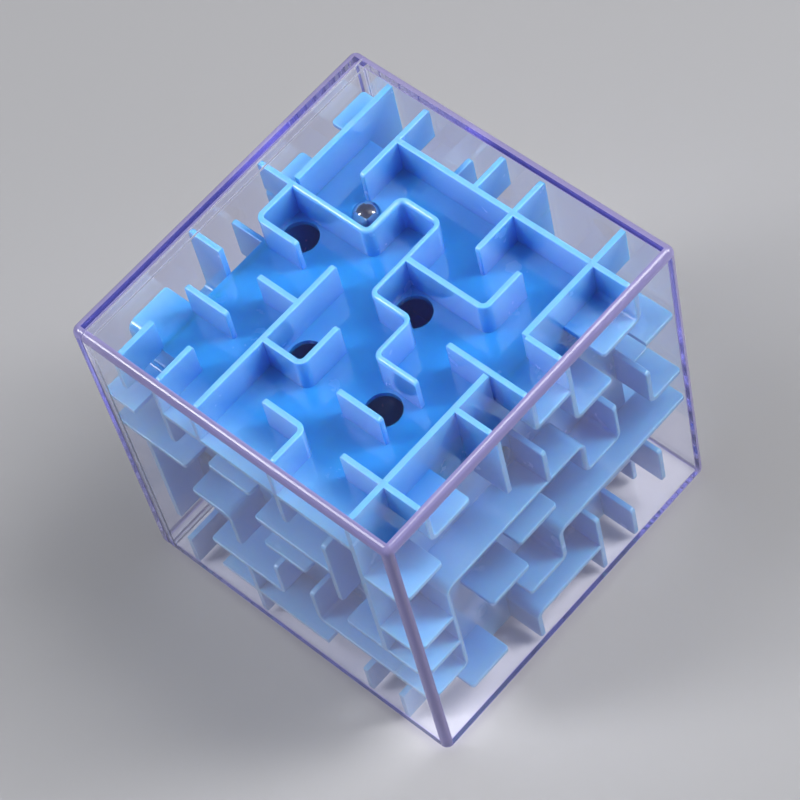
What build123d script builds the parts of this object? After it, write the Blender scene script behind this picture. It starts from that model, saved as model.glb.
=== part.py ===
from build123d import *
from math import copysign
import os

# Tilt maze cube. A clear plastic case, closed by a push-fit lid on its +Y side, holds a
# six-sided maze and one steel ball. The ball rolls between the maze and the case.
# Millimetres, +Z up, origin at the centre of the case's underside.

os.makedirs("parts", exist_ok=True)

# Case
case_size = 80.0
case_wall = 2.0
edge_round = 1.7
face_edge_round = 1.66
inner_round = 0.2
lid_depth = 3.2
seam_chamfer = 0.15
lip_length = 1.3
lip_thickness = 0.9
lip_gap = 0.1
lip_end_gap = 0.1

# Maze
cells = 8
core_cells = 6
rib = 1.2
tip_gap = 0.2
corner_round = 1.5
tip_corner_round = 0.8
tip_edge_round = 0.25
hole_diameter = 7.4

# Ball
ball_diameter = 6.0
ball_gap = 0.1
ball_column = 1.5
ball_row = 1.56

# Sizes that follow
case_middle = case_size / 2
inside = case_size - 2 * case_wall
pitch = (inside + rib) / cells
core_line = core_cells // 2
tip_line = cells // 2
tip_reach = inside / 2 - tip_gap
plate_reach = core_line * pitch + rib / 2
butt_reach = plate_reach - rib
rib_height = tip_reach - plate_reach
maze_height = case_wall + tip_reach
length_tolerance = 0.01


def place(line):
    """Distance of a grid line from the maze centre. Lines 4 and -4 are the wall tips."""
    if abs(line) >= tip_line:
        return copysign(tip_reach, line)
    return line * pitch


def wall_end(end, before):
    """End point of a wall's centre line, run on by half a wall unless it ends at a tip."""
    point = []
    for here, other in zip(end, before):
        reach = place(here)
        if here != other and abs(here) < tip_line:
            reach += copysign(rib / 2, here - other)
        point.append(reach)
    return tuple(point)


def wall_points(route):
    """Centre line of a wall that follows the given grid points."""
    middle = [(place(u), place(v)) for u, v in route[1:-1]]
    return [wall_end(route[0], route[1])] + middle + [wall_end(route[-1], route[-2])]


def face_plane(direction, across):
    """Plane on the outer surface of a core plate, facing out along the direction."""
    middle = Vector(0, 0, maze_height)
    return Plane(middle + Vector(direction) * plate_reach, x_dir=across, z_dir=direction)


def cell_rectangle(left, low, right, high):
    """Rectangle between two pairs of grid lines, drawn in the sketch that is open."""
    width = place(right) - place(left)
    height = place(high) - place(low)
    with Locations((place(left) + width / 2, place(low) + height / 2)):
        Rectangle(width, height)


def maze_panel(plane, size, routes, tongues, holes, neighbours):
    """One side of the maze: a plate with drop holes, walls standing on it, and tongues
    of the plate that reach past the core. It is cut back where it meets a neighbour."""
    with BuildPart() as panel:
        with BuildSketch(plane):
            Rectangle(*size)
            for tongue in tongues:
                cell_rectangle(*tongue)
        extrude(amount=-rib)
        with BuildSketch(plane):
            for route in routes:
                with BuildLine():
                    if len(route) > 2:
                        FilletPolyline(*wall_points(route), radius=corner_round)
                    else:
                        Line(*wall_points(route))
                trace(line_width=rib)
        extrude(amount=rib_height)
        outward = Axis(plane.origin, plane.z_dir)
        lines = panel.faces().group_by(outward)[-1].edges().filter_by(GeomType.LINE)
        free_ends = lines.filter_by(lambda line: abs(line.length - rib) < length_tolerance)
        fillet(free_ends, tip_corner_round)
        fillet(panel.faces().group_by(outward)[-1].edges(), tip_edge_round)
        with BuildSketch(plane):
            with Locations(*[(u * pitch, v * pitch) for u, v in holes]):
                Circle(hole_diameter / 2)
        extrude(amount=-rib, mode=Mode.SUBTRACT)
        for neighbour in neighbours:
            add(neighbour.part, mode=Mode.SUBTRACT)
    return panel


# Panels. Walls, tongues and holes are given in cells from the middle of each side: u runs
# along the side, v up it. Lines 3 and -3 are the core's edges, lines 4 and -4 the case.

front_plane = face_plane((0, -1, 0), (1, 0, 0))
back_plane = face_plane((0, 1, 0), (-1, 0, 0))
top_plane = face_plane((0, 0, 1), (1, 0, 0))
bottom_plane = face_plane((0, 0, -1), (1, 0, 0))
left_plane = face_plane((-1, 0, 0), (0, -1, 0))
right_plane = face_plane((1, 0, 0), (0, 1, 0))

# One tab of the top plate lies in a notch in the back plate's edge, under a wall.
top_tab = (0, 2.5, 1, 3)
with BuildPart() as tab_space:
    with BuildSketch(top_plane):
        cell_rectangle(*top_tab)
    extrude(amount=-rib)

# Front and back plates cover the full core and own every wall in their own planes.
full_size = (2 * plate_reach, 2 * plate_reach)

front_routes = [
    [(-3, 4), (-3, 3), (-2, 3)],
    [(-1, 4), (-1, 2)],
    [(0, 3), (1, 3)],
    [(1, 4), (1, 2), (2, 2)],
    [(2, 3), (3, 3), (3, 4)],
    [(-4, 2), (-3, 2)],
    [(0, 2), (0, 1)],
    [(-4, -2), (-3, -2), (-3, 1), (1, 1), (1, 0), (2, 0), (2, 1)],
    [(-4, 0), (-3, 0)],
    [(-4, -1), (-3, -1)],
    [(3, 1), (3, 0), (4, 0)],
    [(-1, 0), (0, 0)],
    [(-2, -1), (-1, -1)],
    [(-1, -2), (0, -2), (0, -1), (4, -1)],
    [(3, -2), (3, -3)],
    [(-3, -3), (-2, -3)],
    [(-1, -4), (-1, -3), (1, -3)],
    [(1, -2), (1, -4)],
    [(2, -3), (2, -4)],
]
front_tongues = [(-4, 3, -0.1, 4), (1, 3, 4, 4), (-4, -1, -3, 4), (-4, -4, -1, -3), (1, -4, 2, -3)]
front_holes = [(-1.5, -0.5), (1.5, -1.5), (-0.5, 1.5)]
maze_front = maze_panel(front_plane, full_size, front_routes, front_tongues, front_holes, [])

back_routes = [
    [(-4, 3), (-3, 3)],
    [(-2, 3), (-1, 3), (-1, 1), (0, 1)],
    [(0, 3), (0, 2)],
    [(1, 4), (1, 2), (2, 2)],
    [(2, 3), (3, 3), (3, 2), (4, 2)],
    [(-3, 2), (-2, 2)],
    [(-4, 0), (-2, 0), (-2, -1)],
    [(0, 0), (2, 0), (2, 1)],
    [(1, 0), (1, -1)],
    [(-1, 0), (-1, -2), (-2, -2)],
    [(0, -1), (0, -3)],
    [(-3, -1), (-3, -3), (-2, -3)],
    [(1, -2), (3, -2), (3, -1)],
    [(2, -2), (2, -4)],
    [(-1, -3), (-1, -4)],
]
back_tongues = [(-4, 3, -1.14, 4), (3, 3, 4, 4), (-4, 1, -3, 3), (3, -2, 4, 1), (-3, -4, 0, -3), (2, -4, 4, -3)]
back_holes = [(-0.5, 1.5), (2.5, 0.5), (-1.5, -0.5), (1.5, -1.5)]
maze_back = maze_panel(back_plane, full_size, back_routes, back_tongues, back_holes, [tab_space])

# Top and bottom plates fit between the front and back plates.
between_size = (2 * plate_reach, 2 * butt_reach)

top_routes = [
    [(1, 4), (1, 1), (2, 1), (2, 0), (0, 0), (0, -1), (-1, -1), (-1, -2)],
    [(0, 2), (0, 3), (1, 3)],
    [(-2, 3), (-2, 2)],
    [(-4, 1), (0, 1)],
    [(-1, 2), (-1, 1)],
    [(-2, 1), (-2, 0), (-1, 0)],
    [(-3, 0), (-3, -1), (-4, -1)],
    [(-2, -1), (-2, -2)],
    [(1, 0), (1, -2), (2, -2)],
    [(-3, -2), (-3, -3)],
    [(0, -2), (0, -4)],
    [(3, 2), (3, -3)],
    [(2, 2), (4, 2)],
    [(3, 0), (4, 0)],
    [(2, -1), (4, -1)],
    [(-4, 2), (-3, 2)],
]
top_tongues = [(-4, -3, -3, 2), top_tab]
top_holes = [(0.5, 2.5), (0.5, -0.5), (-1.5, -1.5), (-1.5, 0.5)]
maze_top = maze_panel(
    top_plane, between_size, top_routes, top_tongues, top_holes,
    [maze_front, maze_back],
)

bottom_routes = [
    [(-2, 3), (-2, 1), (-1, 1)],
    [(0, 3), (0, 2), (1, 2)],
    [(2, 3), (2, 1), (1, 1), (1, 0)],
    [(-3, 0), (-2, 0), (-2, -1)],
    [(-1, 0), (0, 0), (0, -1), (1, -1)],
    [(-4, -1), (-3, -1)],
    [(-3, -2), (-1, -2), (-1, -1)],
    [(3, 0), (2, 0), (2, -2)],
    [(0, -3), (0, -2), (1, -2)],
    [(-3, 1), (-3, 2), (-4, 2)],
    [(3, 1), (3, 3)],
    [(-1, 2), (-1, 3)],
]
bottom_tongues = [(-4, -2, -3, 1), (3, -1, 4, 2)]
bottom_holes = [(-1.5, 1.5), (1.5, -0.5), (-0.5, -2.5), (2.5, 2.5)]
maze_bottom = maze_panel(
    bottom_plane, between_size, bottom_routes, bottom_tongues, bottom_holes,
    [maze_front, maze_back],
)

# Left and right plates close the last two sides, inside the other four.
inner_size = (2 * butt_reach, 2 * butt_reach)

left_routes = [
    [(-2, 3), (-2, 2)],
    [(-1, 2), (0, 2)],
    [(1, 3), (1, 2)],
    [(0, 1), (2, 1)],
    [(2, 2), (2, 0)],
    [(0, 0), (1, 0)],
    [(-4, 1), (-2, 1)],
    [(-2, 0), (-1, 0), (-1, -1)],
    [(1, -1), (1, -2), (3, -2)],
    [(-2, -2), (0, -2), (0, -1)],
    [(2, -1), (3, -1)],
    [(-1, -3), (-1, -2)],
]
left_holes = [(-0.5, 0.5), (1.5, -0.5), (-2.5, -0.5)]
maze_left = maze_panel(
    left_plane, inner_size, left_routes, [], left_holes,
    [maze_front, maze_back, maze_top, maze_bottom],
)

right_routes = [
    [(-4, 2), (-2, 2), (-2, 1)],
    [(-1, 3), (-1, 1), (0, 1)],
    [(1, 3), (1, 2), (2, 2)],
    [(3, 1), (2, 1), (2, 0)],
    [(-3, 0), (-2, 0), (-2, -1), (-1, -1)],
    [(-1, 0), (1, 0), (1, -1)],
    [(0, -1), (0, -3)],
    [(-3, -2), (-1, -2)],
    [(1, -2), (2, -2), (2, -1), (3, -1)],
]
right_holes = [(-1.5, 1.5), (1.5, 0.5), (-2.5, -1.5), (1.5, -2.5)]
maze_right = maze_panel(
    right_plane, inner_size, right_routes, [], right_holes,
    [maze_front, maze_back, maze_top, maze_bottom],
)

# Case body: five clear walls moulded in one, open at the seam with the lid.
seam = Plane.XZ.offset(lid_depth - case_middle)
lip_reach = inside / 2 + lip_thickness

with BuildPart() as case_body:
    with BuildSketch(seam):
        with Locations((0, case_middle)):
            RectangleRounded(case_size, case_size, edge_round)
    extrude(amount=case_size - lid_depth)
    fillet(case_body.faces().sort_by(Axis.Y)[0].edges(), face_edge_round)
    chamfer(case_body.faces().sort_by(Axis.Y)[-1].edges(), seam_chamfer)
    with BuildSketch(seam):
        with Locations((0, case_middle)):
            RectangleRounded(inside, inside, inner_round)
    extrude(amount=case_size - lid_depth - case_wall, mode=Mode.SUBTRACT)
    with BuildSketch(seam):
        with Locations((0, case_middle)):
            Rectangle(2 * (lip_reach + lip_gap), 2 * (lip_reach + lip_gap))
    extrude(amount=lip_length + lip_end_gap, mode=Mode.SUBTRACT)

# Case lid: a shallow clear tray whose thin lip enters the step inside the body's rim.
with BuildPart() as case_lid:
    with BuildSketch(seam):
        with Locations((0, case_middle)):
            RectangleRounded(case_size, case_size, edge_round)
    extrude(amount=-lid_depth)
    fillet(case_lid.faces().sort_by(Axis.Y)[-1].edges(), face_edge_round)
    chamfer(case_lid.faces().sort_by(Axis.Y)[0].edges(), seam_chamfer)
    with BuildSketch(seam):
        with Locations((0, case_middle)):
            Rectangle(2 * lip_reach, 2 * lip_reach)
    extrude(amount=lip_length)
    with BuildSketch(seam.offset(lip_length)):
        with Locations((0, case_middle)):
            RectangleRounded(inside, inside, inner_round)
    extrude(amount=case_wall - lid_depth - lip_length, mode=Mode.SUBTRACT)

# Steel ball, lying on the top side near the middle of a cell.
ball_radius = ball_diameter / 2
ball_height = maze_height + plate_reach + ball_radius + ball_gap

with BuildPart() as steel_ball:
    with Locations((ball_column * pitch, ball_row * pitch, ball_height)):
        Sphere(ball_radius)

pieces = {
    "case_body": case_body,
    "case_lid": case_lid,
    "maze_panel_top": maze_top,
    "maze_panel_bottom": maze_bottom,
    "maze_panel_front": maze_front,
    "maze_panel_back": maze_back,
    "maze_panel_left": maze_left,
    "maze_panel_right": maze_right,
    "steel_ball": steel_ball,
}
for name, piece in pieces.items():
    piece.part.label = name
    export_step(piece.part, f"parts/{name}.step")
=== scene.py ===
import bmesh
import bpy
import numpy as np
from mathutils import Matrix, Vector


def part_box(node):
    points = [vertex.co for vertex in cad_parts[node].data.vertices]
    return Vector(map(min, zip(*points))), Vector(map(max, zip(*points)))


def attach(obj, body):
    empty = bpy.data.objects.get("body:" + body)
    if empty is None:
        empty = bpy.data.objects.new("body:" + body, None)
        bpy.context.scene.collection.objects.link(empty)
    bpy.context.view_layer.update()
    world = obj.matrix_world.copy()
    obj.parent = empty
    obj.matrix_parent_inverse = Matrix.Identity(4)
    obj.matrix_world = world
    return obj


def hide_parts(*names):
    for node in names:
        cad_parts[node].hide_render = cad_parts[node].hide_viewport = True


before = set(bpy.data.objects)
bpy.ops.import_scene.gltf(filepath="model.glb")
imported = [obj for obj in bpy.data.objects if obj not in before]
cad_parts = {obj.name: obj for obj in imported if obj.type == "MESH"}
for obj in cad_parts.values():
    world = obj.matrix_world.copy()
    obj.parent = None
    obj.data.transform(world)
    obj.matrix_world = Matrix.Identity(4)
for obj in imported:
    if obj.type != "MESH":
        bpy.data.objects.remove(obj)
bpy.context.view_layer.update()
mm = 0.001

# ---- Maze panels ------------------------------------------------------------------------
# Six moulded sides of blue polystyrene, each a thin plate with upright walls and drop holes.
# They butt together into a hollow core, and their wall tips stop just short of the case.

# The plastic's own blue, painted deeper at the plates as recess shade and paler at the wall tips as
# painted light.
shaded_plate_blue = (0.006, 0.235, 0.640, 1.0)
lit_tip_blue = (0.170, 0.455, 0.790, 1.0)
glow_reach = 2.5 * mm
flow_scale = 45.0
flow_shift = 0.04
grain_scale = 1600.0
grain_depth = 0.02 * mm
grain_strength = 0.12
polish = (0.16, 0.28)
blue_refraction = 1.59
translucency = 0.70
glow_share = (0.15, 0.6, 1.0)
skin_refraction = 1.6
skin_roughness = 0.05
maze_low, maze_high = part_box("maze_panel_front")
maze_height = (maze_low.z + maze_high.z) / 2
plate_reach = 29.0 * mm
tip_reach = maze_high.x


def new_material(name):
    """A material with an empty node tree, its Principled shader and its output."""
    material = bpy.data.materials.new(name)
    material.use_nodes = True
    tree = material.node_tree
    return material, tree, tree.nodes["Principled BSDF"]


def noise(tree, scale, detail):
    """Noise over the object's own coordinates, from 0 to 1, at scale cells a metre."""
    place = tree.nodes.new("ShaderNodeTexCoord")
    texture = tree.nodes.new("ShaderNodeTexNoise")
    texture.inputs["Scale"].default_value = scale
    texture.inputs["Detail"].default_value = detail
    tree.links.new(place.outputs["Object"], texture.inputs["Vector"])
    return texture.outputs["Fac"]


def between(tree, factor, low, high):
    """A number that runs from low to high as the factor runs from 0.3 to 0.7."""
    ramp = tree.nodes.new("ShaderNodeMapRange")
    ramp.inputs["From Min"].default_value = 0.3
    ramp.inputs["From Max"].default_value = 0.7
    ramp.inputs["To Min"].default_value = low
    ramp.inputs["To Max"].default_value = high
    tree.links.new(factor, ramp.inputs["Value"])
    return ramp.outputs["Result"]


def bumped(tree, shader, height, depth, strength):
    """Raises the shader's surface by depth metres where the height is 1."""
    bump = tree.nodes.new("ShaderNodeBump")
    bump.inputs["Strength"].default_value = strength
    bump.inputs["Distance"].default_value = depth
    tree.links.new(height, bump.inputs["Height"])
    tree.links.new(bump.outputs["Normal"], shader.inputs["Normal"])


def calculate(tree, operation, first, second):
    """The result of one arithmetic node. Each value is a number or another node's output."""
    node = tree.nodes.new("ShaderNodeMath")
    node.operation = operation
    for socket, value in zip(node.inputs, (first, second)):
        if isinstance(value, float):
            socket.default_value = value
        else:
            tree.links.new(value, socket)
    return node.outputs["Value"]


def reach_from_middle(tree):
    """The largest of |x|, |y| and |z - middle| of a point: how far out on the maze it lies."""
    place = tree.nodes.new("ShaderNodeTexCoord")
    centred = tree.nodes.new("ShaderNodeMapping")
    centred.inputs["Location"].default_value = (0.0, 0.0, -maze_height)
    tree.links.new(place.outputs["Object"], centred.inputs["Vector"])
    split = tree.nodes.new("ShaderNodeSeparateXYZ")
    tree.links.new(centred.outputs["Vector"], split.inputs["Vector"])
    sizes = [calculate(tree, "ABSOLUTE", split.outputs[axis], 0.0) for axis in "XYZ"]
    return calculate(tree, "MAXIMUM", calculate(tree, "MAXIMUM", sizes[0], sizes[1]), sizes[2])


def maze_plastic():
    """Blue plastic with painted light: deep at the plates, as painted shade in the recesses, and paler
    towards the thin tips of the walls, as painted light where they catch the lamps. It lets some light
    through, and has faint flow marks, a fine grain and a glossy skin."""
    material, tree, shader = new_material("maze_plastic")
    # Painted light and shade: the mix runs from the shaded plate blue to the lit tip blue as a point
    # lies further out.
    tip_light_rise = tree.nodes.new("ShaderNodeMapRange")
    tip_light_rise.inputs["From Min"].default_value = plate_reach
    tip_light_rise.inputs["From Max"].default_value = tip_reach
    tree.links.new(reach_from_middle(tree), tip_light_rise.inputs["Value"])
    flow = between(tree, noise(tree, flow_scale, 3.0), -flow_shift, flow_shift)
    blend = tree.nodes.new("ShaderNodeMix")
    blend.data_type = "RGBA"
    blend.inputs["A"].default_value = shaded_plate_blue
    blend.inputs["B"].default_value = lit_tip_blue
    tree.links.new(calculate(tree, "ADD", tip_light_rise.outputs["Result"], flow), blend.inputs["Factor"])
    tree.links.new(blend.outputs["Result"], shader.inputs["Base Color"])
    gloss = between(tree, noise(tree, 4 * flow_scale, 4.0), *polish)
    tree.links.new(gloss, shader.inputs["Roughness"])
    shader.inputs["IOR"].default_value = blue_refraction
    shader.inputs["Subsurface Weight"].default_value = translucency
    shader.inputs["Subsurface Radius"].default_value = glow_share
    shader.inputs["Subsurface Scale"].default_value = glow_reach
    shader.inputs["Coat Weight"].default_value = 1.0
    shader.inputs["Coat IOR"].default_value = skin_refraction
    shader.inputs["Coat Roughness"].default_value = skin_roughness
    bumped(tree, shader, noise(tree, grain_scale, 2.0), grain_depth, grain_strength)
    return material


blue = maze_plastic()
for side in ("top", "bottom", "front", "back", "left", "right"):
    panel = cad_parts[f"maze_panel_{side}"]
    panel.data.materials.clear()
    panel.data.materials.append(blue)

# ---- Steel ball -------------------------------------------------------------------------
# One polished bearing ball, ground from hardened chrome steel. It lies loose in a channel.

ball_rings = 48
ball_spokes = 96
steel_colour = (0.72, 0.70, 0.68, 1.0)
steel_grain = 900.0
steel_haze = (0.04, 0.10)
same_point = 0.0005 * mm
crease = np.radians(30)


def mesh_object(name, vertices, faces, materials):
    """A closed object from a vertex array and a face list. Doubled vertices are merged,
    open loops are capped, normals are turned outwards and edges over 30 degrees are sharp."""
    mesh = bpy.data.meshes.new(name)
    mesh.from_pydata(vertices.tolist(), [], faces)
    work = bmesh.new()
    work.from_mesh(mesh)
    bmesh.ops.remove_doubles(work, verts=work.verts, dist=same_point)
    open_edges = [edge for edge in work.edges if edge.is_boundary]
    bmesh.ops.holes_fill(work, edges=open_edges, sides=0)
    bmesh.ops.recalc_face_normals(work, faces=work.faces)
    for face in work.faces:
        face.smooth = True
    work.to_mesh(mesh)
    work.free()
    mesh.set_sharp_from_angle(angle=crease)
    for material in materials:
        mesh.materials.append(material)
    made = bpy.data.objects.new(name, mesh)
    bpy.context.scene.collection.objects.link(made)
    return made


def grid_faces(rows, columns):
    """Four-sided faces between neighbouring rows of points, each row closed on itself."""
    row, column = np.meshgrid(np.arange(rows - 1), np.arange(columns), indexing="ij")
    after = (column + 1) % columns
    here = row * columns
    above = (row + 1) * columns
    corners = (here + column, here + after, above + after, above + column)
    return np.stack(corners, axis=-1).reshape(-1, 4).tolist()


def ball_mesh(centre, radius):
    """Points at latitude a and longitude b: centre + radius (cos a cos b, cos a sin b, sin a)."""
    latitude = np.linspace(-np.pi / 2, np.pi / 2, ball_rings + 1)[:, None]
    longitude = np.linspace(0, 2 * np.pi, ball_spokes, endpoint=False)[None, :]
    x = np.cos(latitude) * np.cos(longitude)
    y = np.cos(latitude) * np.sin(longitude)
    z = np.sin(latitude) * np.ones_like(longitude)
    points = np.array(centre) + radius * np.stack((x, y, z), axis=-1).reshape(-1, 3)
    return points, grid_faces(ball_rings + 1, ball_spokes)


def ball_steel():
    """Polished steel: almost a mirror, with the faint grinding haze of a bearing ball."""
    material, tree, shader = new_material("ball_steel")
    shader.inputs["Base Color"].default_value = steel_colour
    shader.inputs["Metallic"].default_value = 1.0
    tree.links.new(between(tree, noise(tree, steel_grain, 3.0), *steel_haze), shader.inputs["Roughness"])
    return material


ball_low, ball_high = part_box("steel_ball")
ball_points, ball_faces = ball_mesh((ball_low + ball_high) / 2, (ball_high.x - ball_low.x) / 2)
ball = mesh_object("bearing_ball", ball_points, ball_faces, [ball_steel()])
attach(ball, "ball")
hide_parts("steel_ball")

# ---- Case body --------------------------------------------------------------------------
# Five clear walls injection moulded in one piece of polystyrene, polished inside and out.
# Its open rim has a step cut inside it, which takes the lid's lip.

body_low, body_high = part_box("case_body")
lid_low, lid_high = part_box("case_lid")
half = body_high.x
middle_z = (body_low.z + body_high.z) / 2
wall = 2.0 * mm
edge_round = 1.7 * mm
seam_chamfer = 0.15 * mm
step_reach = 39.0 * mm
step_depth = 1.4 * mm
inner_round = 0.2 * mm
hold = 0.08 * mm
arc_steps = 12
clear_tint = (0.985, 0.985, 1.0, 1.0)
clear_refraction = 1.49
clear_haze = (0.0, 0.03)
clear_scale = 60.0
absorb_colour = (0.76, 0.75, 0.96, 1.0)
absorb_density = 45.0
# Painted glow: a faint blue emission on the clear case that stands in for light caught in its walls.
painted_glow_colour = (0.12, 0.16, 0.60, 1.0)
painted_glow_strength = 0.02
# Rounded edges: partly the real tint, partly a painted glow for the light the walls carry out to their
# edges.
painted_edge_glow = (0.44, 0.40, 0.74, 1.0)
edge_clear = 0.30
edge_haze = (0.03, 0.09)
edge_scale = 90.0
rim_colour = (0.84, 0.84, 0.95, 1.0)
rim_matt = (0.30, 0.50)
rim_scale = 300.0
inner_steps = 3
flat_enough = 0.999


def square_rings(profile):
    """Points of rounded squares, one for each (half width, corner radius, y) of the profile.
    A corner runs from its hold point, round its arc by angle, to its other hold point."""
    rows = np.array(profile)
    reach, corner, depth = rows[:, 0:1], rows[:, 1:2], rows[:, 2:3]
    angle = np.linspace(0, np.pi / 2, arc_steps + 1)[None, :]
    x = (reach - corner) + corner * np.cos(angle)
    z = (reach - corner) + corner * np.sin(angle)
    x = np.hstack((x[:, :1], x, x[:, -1:] - hold))
    z = np.hstack((z[:, :1] - hold, z, z[:, -1:]))
    turns = [(x, z), (-z, x), (-x, -z), (z, -x)]
    ring_x = np.hstack([turn[0] for turn in turns])
    ring_z = np.hstack([turn[1] for turn in turns])
    ring_y = depth * np.ones_like(ring_x)
    return np.stack((ring_x, ring_y, middle_z + ring_z), axis=-1).reshape(-1, 3)


def round_over(face_y, inward, reach, radius, steps):
    """Profile rows that turn from a flat face, by a quarter circle, into the sides.
    Row by angle a: half width reach - radius + radius sin a, corner radius sin a."""
    rows = [(reach - radius - hold, 0.0, face_y)]
    for turn in np.linspace(0, np.pi / 2, steps + 1):
        swing = radius * np.sin(turn)
        rows.append((reach - radius + swing, swing, face_y + inward * radius * (1 - np.cos(turn))))
    rows.append((reach, radius, face_y + inward * (radius + hold)))
    return rows


def tray(name, profile, joint, materials):
    """A closed shell from a profile that starts on its outer face and ends on its inner one.
    Its rounded edges take the second material. The flat faces across the joint, whose y lies
    between the joint's two ends, take the third."""
    columns = 4 * (arc_steps + 3)
    made = mesh_object(name, square_rings(profile), grid_faces(len(profile), columns), materials)
    count = len(made.data.polygons)
    normals = np.empty(3 * count, np.float32)
    centres = np.empty(3 * count, np.float32)
    made.data.polygons.foreach_get("normal", normals)
    made.data.polygons.foreach_get("center", centres)
    steep = np.abs(normals).reshape(-1, 3)
    depth = centres.reshape(-1, 3)[:, 1]
    slanted = steep.max(axis=1) < flat_enough
    across = steep[:, 1] > flat_enough
    at_rim = across & (depth > joint[0] - hold) & (depth < joint[1] + hold)
    indices = np.where(at_rim, 2, np.where(slanted, 1, 0))
    made.data.polygons.foreach_set("material_index", indices.astype(np.int32))
    return made


def clear_plastic():
    """Clear polystyrene that shows its blue-violet tint only through a long way of plastic,
    with a polished surface that carries a little handling haze, and a faint painted blue glow
    (emission) that stands in for light caught in the walls."""
    material, tree, shader = new_material("clear_case")
    shader.inputs["Base Color"].default_value = clear_tint
    shader.inputs["Transmission Weight"].default_value = 1.0
    shader.inputs["IOR"].default_value = clear_refraction
    shader.inputs["Emission Color"].default_value = painted_glow_colour
    shader.inputs["Emission Strength"].default_value = painted_glow_strength
    tree.links.new(between(tree, noise(tree, clear_scale, 4.0), *clear_haze), shader.inputs["Roughness"])
    depth = tree.nodes.new("ShaderNodeVolumeAbsorption")
    depth.inputs["Color"].default_value = absorb_colour
    depth.inputs["Density"].default_value = absorb_density
    tree.links.new(depth.outputs["Volume"], tree.nodes["Material Output"].inputs["Volume"])
    return material


def edge_plastic():
    """The same plastic at its rounded edges, painted a part-opaque blue-violet: partly the tint seen
    through a long way of plastic, partly a painted glow that stands in for the light the walls carry
    out."""
    material, tree, shader = new_material("clear_edge")
    shader.inputs["Base Color"].default_value = painted_edge_glow
    shader.inputs["Transmission Weight"].default_value = edge_clear
    shader.inputs["IOR"].default_value = clear_refraction
    tree.links.new(between(tree, noise(tree, edge_scale, 3.0), *edge_haze), shader.inputs["Roughness"])
    return material


def rim_plastic():
    """The same plastic where the two halves meet: whitish and rougher, so it shows as
    a white line."""
    material, tree, shader = new_material("clear_rim")
    shader.inputs["Base Color"].default_value = rim_colour
    tree.links.new(between(tree, noise(tree, rim_scale, 3.0), *rim_matt), shader.inputs["Roughness"])
    return material


clear = [clear_plastic(), edge_plastic(), rim_plastic()]
seam = body_high.y
body_profile = round_over(body_low.y, 1, half, edge_round, arc_steps)
body_profile += [
    (half, edge_round, seam - seam_chamfer - hold),
    (half, edge_round, seam - seam_chamfer),
    (half - seam_chamfer, edge_round - seam_chamfer, seam),
    (step_reach, 0.0, seam),
    (step_reach, 0.0, seam - step_depth),
    (half - wall, inner_round, seam - step_depth),
]
body_profile += round_over(body_low.y + wall, 1, half - wall, inner_round, inner_steps)[::-1]
joint = (seam - step_depth, seam)
body = tray("clear_body", body_profile, joint, clear)
body.visible_shadow = False
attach(body, "case")
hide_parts("case_body")

# ---- Case lid ---------------------------------------------------------------------------
# A shallow tray of the same clear plastic. It pushes onto the open side of the body, and its
# thin lip hides the joint from inside.

lip_reach = 38.9 * mm
seam_gap = 0.03 * mm
rim = seam + seam_gap

lid_profile = round_over(lid_high.y, -1, half, edge_round, arc_steps)
lid_profile += [
    (half, edge_round, rim + seam_chamfer + hold),
    (half, edge_round, rim + seam_chamfer),
    (half - seam_chamfer, edge_round - seam_chamfer, rim),
    (lip_reach, 0.0, rim),
    (lip_reach, 0.0, lid_low.y),
    (half - wall, inner_round, lid_low.y),
]
lid_profile += round_over(lid_high.y - wall, -1, half - wall, inner_round, inner_steps)[::-1]
lid = tray("clear_lid", lid_profile, joint, clear)
lid.visible_shadow = False
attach(lid, "lid")
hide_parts("case_lid")

# ---- Table, light and camera ------------------------------------------------------------
# A plain pale table top, two large soft lights high on either side, a small light by each that
# puts a highlight on the ball, and a long lens that looks down on one corner of the cube.

table_colour = (0.52, 0.52, 0.54, 1.0)
camera_place = (-0.18567, -0.26465, 0.53819)
camera_right = (0.65698, -0.73914, -0.14849)
camera_down = (-0.68601, -0.50441, -0.52436)
camera_lens = 137.77
camera_sensor = 36.0
table_span = 2.0
table_roughness = 0.7
table_gap = 0.2 * mm
warm_white = (1.0, 0.99, 0.97)
cool_white = (0.97, 0.98, 1.0)
plain_white = (1.0, 1.0, 1.0)
sky_colour = (0.9, 0.93, 1.0, 1.0)
sky_strength = 0.09


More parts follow.
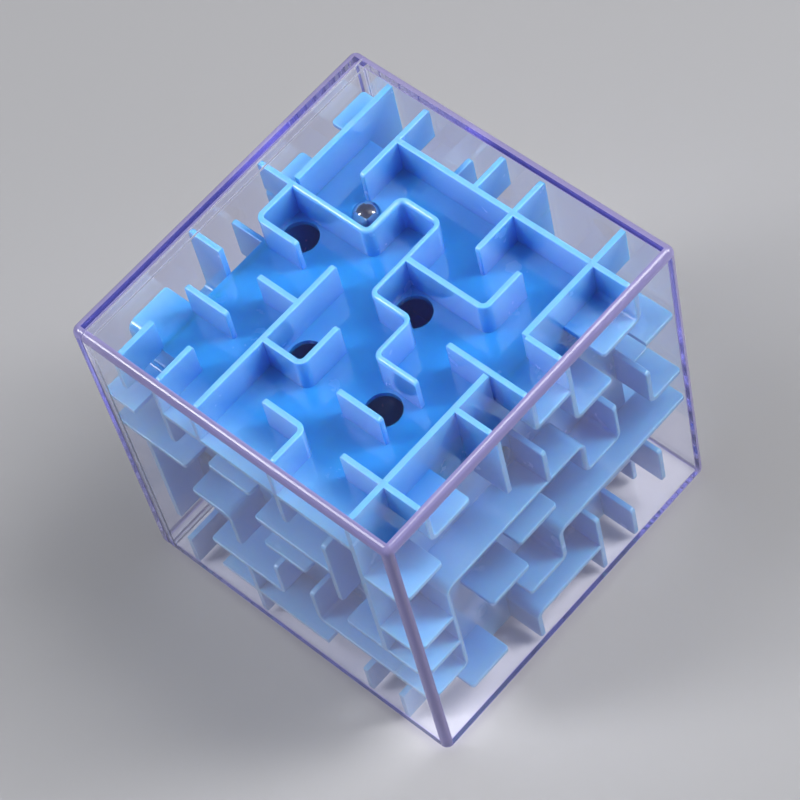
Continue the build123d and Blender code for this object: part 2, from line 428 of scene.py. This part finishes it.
def table_top():
    """Flat pale table, 4 m square, just under the case."""
    corner_signs = [(-1, -1, 0), (1, -1, 0), (1, 1, 0), (-1, 1, 0)]
    corners = table_span * np.array(corner_signs, float)
    mesh = bpy.data.meshes.new("table")
    mesh.from_pydata(corners.tolist(), [], [(0, 1, 2, 3)])
    material, tree, shader = new_material("table_top")
    shader.inputs["Base Color"].default_value = table_colour
    shader.inputs["Roughness"].default_value = table_roughness
    mesh.materials.append(material)
    made = bpy.data.objects.new("table", mesh)
    made.location.z = -table_gap
    bpy.context.scene.collection.objects.link(made)
    return made


def soft_light(name, place, width, height, watts, colour, seen_through):
    """A rectangular area light of the given size that faces the middle of the cube. One that
    is seen through the clear case also leaves its own highlight on the ball."""
    data = bpy.data.lights.new(name, "AREA")
    data.shape = "RECTANGLE"
    data.size = width
    data.size_y = height
    data.energy = watts
    data.color = colour
    lamp = bpy.data.objects.new(name, data)
    lamp.location = place
    lamp.visible_transmission = seen_through
    lamp.rotation_euler = (Vector(place) - Vector((0, 0, middle_z))).to_track_quat("Z", "Y").to_euler()
    bpy.context.scene.collection.objects.link(lamp)


table_top()
soft_light("key", (0.46, -0.40, 0.82), 0.30, 0.60, 5.8, warm_white, False)
soft_light("key_glint", (0.60, -0.53, 0.60), 0.14, 0.34, 1.30, plain_white, True)
soft_light("fill", (-0.47, 0.41, 0.80), 0.25, 0.50, 3.3, cool_white, False)
soft_light("fill_glint", (-0.56, 0.49, 0.67), 0.12, 0.30, 1.00, plain_white, True)

world = bpy.data.worlds.new("studio")
world.use_nodes = True
world.node_tree.nodes["Background"].inputs["Color"].default_value = sky_colour
world.node_tree.nodes["Background"].inputs["Strength"].default_value = sky_strength
bpy.context.scene.world = world
bpy.context.scene.view_settings.view_transform = "Standard"
cycles = bpy.context.scene.cycles
cycles.max_bounces = 32
cycles.glossy_bounces = 24
cycles.transmission_bounces = 24
cycles.caustics_reflective = False

camera_data = bpy.data.cameras.new("camera")
camera_data.sensor_width = camera_sensor
camera_data.lens = camera_lens
camera_data.clip_start = 0.01
camera = bpy.data.objects.new("camera", camera_data)
bpy.context.scene.collection.objects.link(camera)
right = Vector(camera_right).normalized()
up = -Vector(camera_down).normalized()
back = right.cross(up)
turn = Matrix((right, up, back)).transposed()
camera.matrix_world = Matrix.Translation(camera_place) @ turn.to_4x4()
bpy.context.scene.camera = camera
